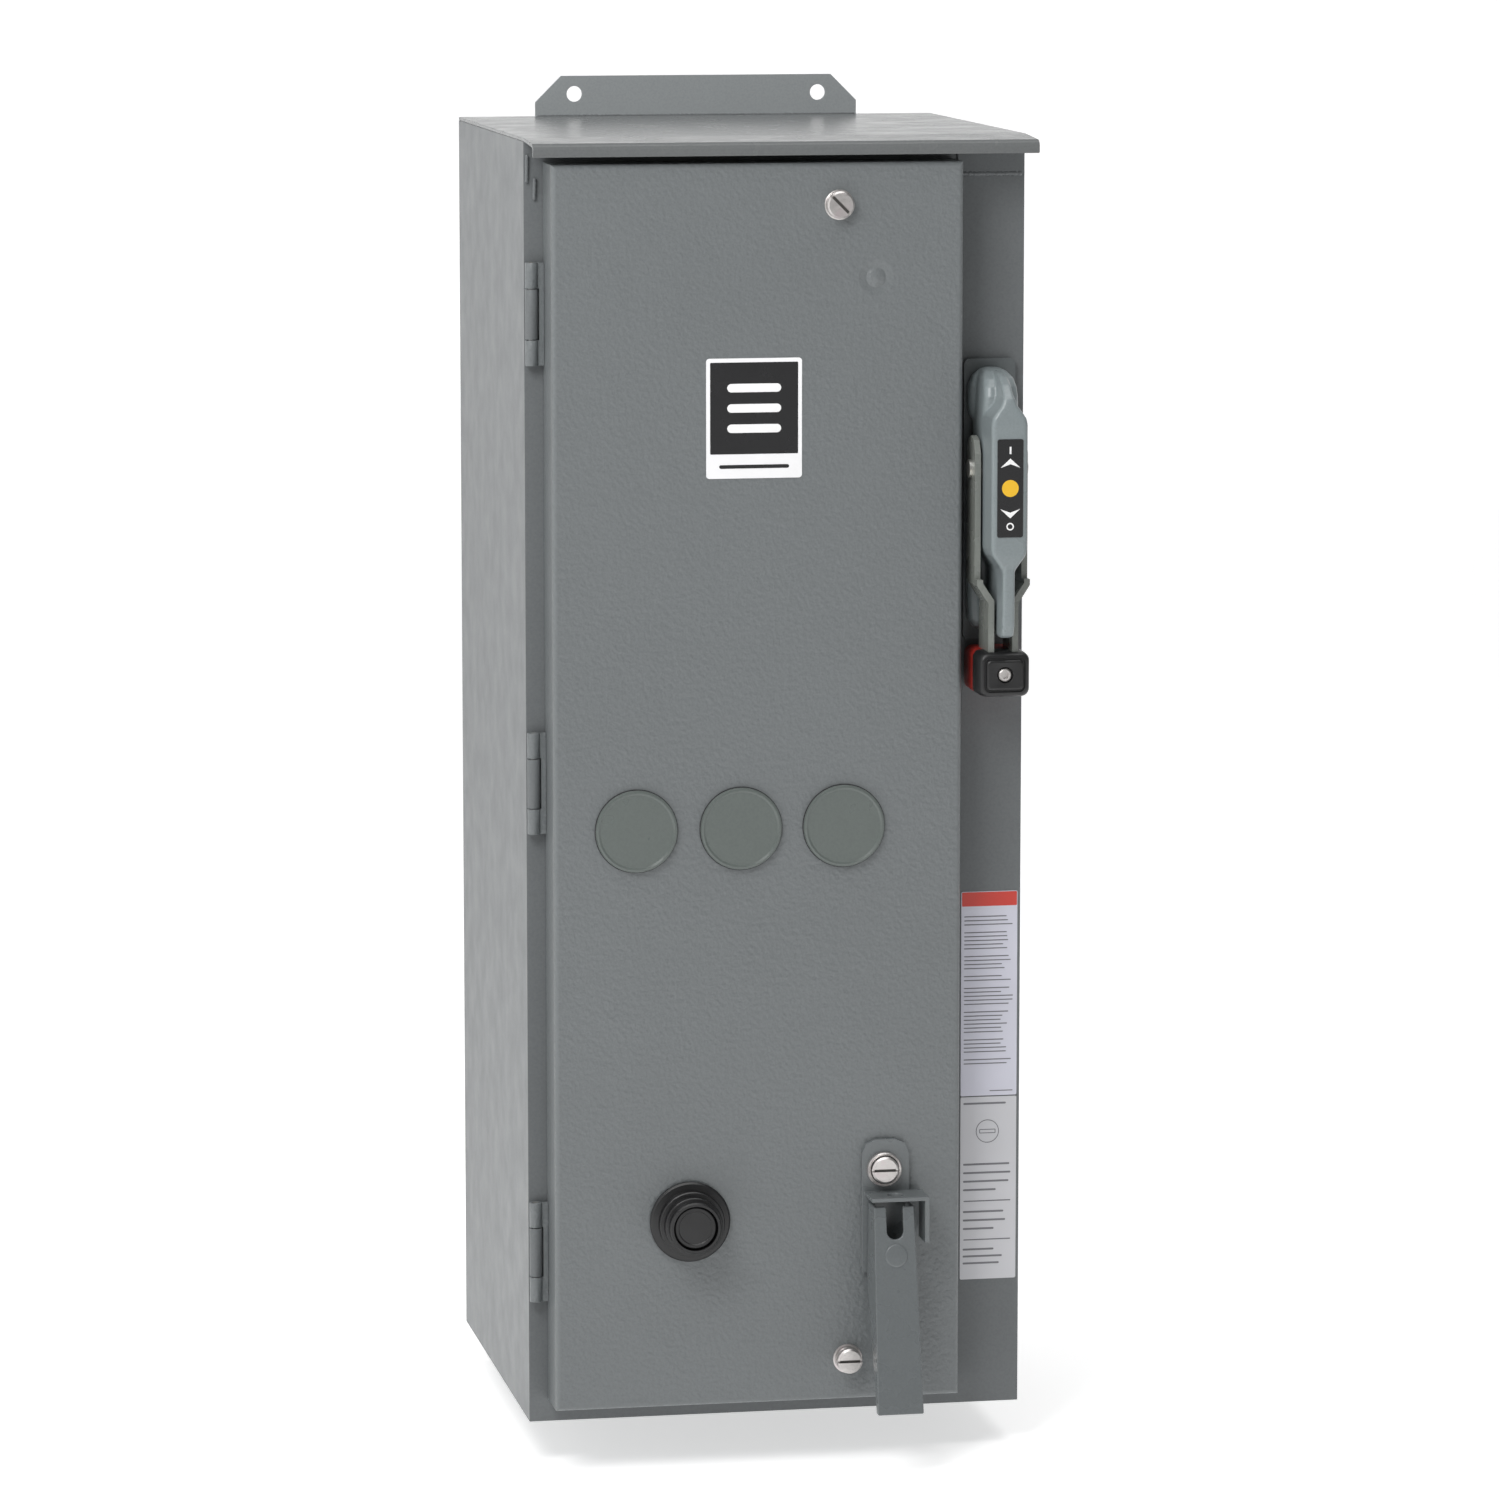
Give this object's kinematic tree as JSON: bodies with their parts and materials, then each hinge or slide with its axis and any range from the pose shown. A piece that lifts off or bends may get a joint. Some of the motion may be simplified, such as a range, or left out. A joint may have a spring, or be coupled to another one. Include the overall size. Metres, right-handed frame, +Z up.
{
  "type": "motor protection breaker in a combination starter enclosure",
  "caption": "Wall-mounted sheet-metal enclosure with a hinged, latched door, a side-flange disconnect lever and a motor protection breaker, contactor and overload relay inside.",
  "frame": {"origin": "centre of the four wall-mounting holes, on the wall plane", "axes": "+X to the right seen from the front, +Y back towards the wall, +Z up"},
  "size_m": [0.2526, 0.291, 0.687],
  "materials": {
    "case_paint": "semi-gloss powder coat",
    "door_paint": "semi-gloss powder coat, fine orange peel",
    "handle_casting": "painted die casting",
    "arm_steel": "phosphated and painted steel",
    "zinc_steel": "zinc plated",
    "bright_screw": "bright zinc plated",
    "black_plastic": "moulded, satin",
    "red_plastic": "moulded, satin",
    "rubber_seal": "closed-cell foam rubber",
    "panel_white": "white enamel",
    "breaker_plastic": "moulded thermoset",
    "lug_metal": "tin plated",
    "label_film": "printed film"
  },
  "bodies": {
    "case": {"case_shell": "case_paint", "top_cover": "case_paint", "strip_baffle": "case_paint", "mounting_flange_top": "case_paint", "mounting_flange_bottom": "case_paint", "hinge_frame_leaf_upper": "case_paint", "hinge_frame_leaf_middle": "case_paint", "hinge_frame_leaf_lower": "case_paint", "latch_strike": "zinc_steel", "door_screw_receivers": "zinc_steel", "handle_base": "handle_casting", "handle_housing": "handle_casting", "handle_label": "label_film", "slide_guides": "zinc_steel", "mounting_panel": "panel_white", "panel_studs": "zinc_steel", "breaker_body": "breaker_plastic", "breaker_lugs": "lug_metal", "contactor": "breaker_plastic", "overload_relay": "breaker_plastic", "strip_labels": "label_film"},
    "door": {"door_panel": "door_paint", "door_gasket": "rubber_seal", "hinge_door_leaf_upper": "door_paint", "hinge_door_leaf_middle": "door_paint", "hinge_door_leaf_lower": "door_paint", "hinge_pins": "zinc_steel", "closing_plate_left": "door_paint", "closing_plate_middle": "door_paint", "closing_plate_right": "door_paint", "closing_plate_gaskets": "rubber_seal", "closing_plate_clamps": "zinc_steel", "closing_plate_nuts": "zinc_steel", "reset_bezel": "black_plastic", "reset_gasket": "rubber_seal", "reset_locknut": "zinc_steel", "reset_spring": "zinc_steel", "latch_plate": "door_paint", "latch_cup": "bright_screw", "door_screw_washers": "bright_screw", "door_plate": "label_film"},
    "reset": {"reset_button": "black_plastic", "reset_rod": "black_plastic"},
    "latch": {"latch_lever": "door_paint", "latch_shaft": "zinc_steel", "latch_cam": "zinc_steel", "latch_nut": "zinc_steel"},
    "interlock": {"interlock_screw": "bright_screw"},
    "screw_upper": {"door_screw_upper": "bright_screw"},
    "screw_lower": {"door_screw_lower": "bright_screw"},
    "disconnect": {"lever_arm_left": "arm_steel", "lever_arm_right": "arm_steel", "grip_black": "black_plastic", "grip_red": "red_plastic", "grip_screw": "bright_screw", "pivot_shaft": "zinc_steel", "drive_crank": "zinc_steel"},
    "slide": {"slide_bar": "zinc_steel"},
    "toggle": {"breaker_toggle": "breaker_plastic"},
    "relay_pin": {"relay_reset_pin": "breaker_plastic"}
  },
  "joints": [
    {"name": "door_swing", "type": "hinge", "parent": "case", "child": "door", "pos_m": [-0.12285, -0.2285, 0], "axis": [0, 0, -1], "range_deg": [0, 130]},
    {"name": "latch_turn", "type": "hinge", "parent": "door", "child": "latch", "pos_m": [0.0515, -0.26, -0.236], "axis": [0, -1, 0], "range_deg": [0, 75]},
    {"name": "interlock_turn", "type": "hinge", "parent": "door", "child": "interlock", "pos_m": [0.0495, -0.256, -0.1928], "axis": [0, -1, 0], "range_deg": [0, 90]},
    {"name": "screw_upper_turn", "type": "hinge", "parent": "door", "child": "screw_upper", "pos_m": [0.0264, -0.253, 0.2898], "axis": [0, -1, 0], "range_deg": [0, 360]},
    {"name": "screw_lower_turn", "type": "hinge", "parent": "door", "child": "screw_lower", "pos_m": [0.0317, -0.253, -0.29], "axis": [0, -1, 0], "range_deg": [0, 360]},
    {"name": "reset_press", "type": "slide", "parent": "door", "child": "reset", "axis": [0, 1, 0], "range_m": [0, 0.006], "stiffness_N_per_m": 500, "springref_m": -0.001},
    {"name": "disconnect_throw", "type": "hinge", "parent": "case", "child": "disconnect", "pos_m": [0.1078, -0.2475, 0.158], "axis": [-1, 0, 0], "range_deg": [0, 180]},
    {"name": "slide_lift", "type": "slide", "parent": "case", "child": "slide", "axis": [0, 0, 1], "range_m": [0, 0.0262]},
    {"name": "toggle_throw", "type": "hinge", "parent": "case", "child": "toggle", "pos_m": [-0.007, -0.108, 0.14], "axis": [-1, 0, 0], "range_deg": [0, 40.5]},
    {"name": "relay_pin_press", "type": "slide", "parent": "case", "child": "relay_pin", "axis": [0, 1, 0], "range_m": [0, 0.0061]}
  ],
  "couplings": [
    {"joint": "slide_lift", "follows": "disconnect_throw", "m_per_rad": 0.008276},
    {"joint": "toggle_throw", "follows": "disconnect_throw", "ratio": 0.22222},
    {"joint": "relay_pin_press", "follows": "reset_press", "ratio": 1}
  ]
}
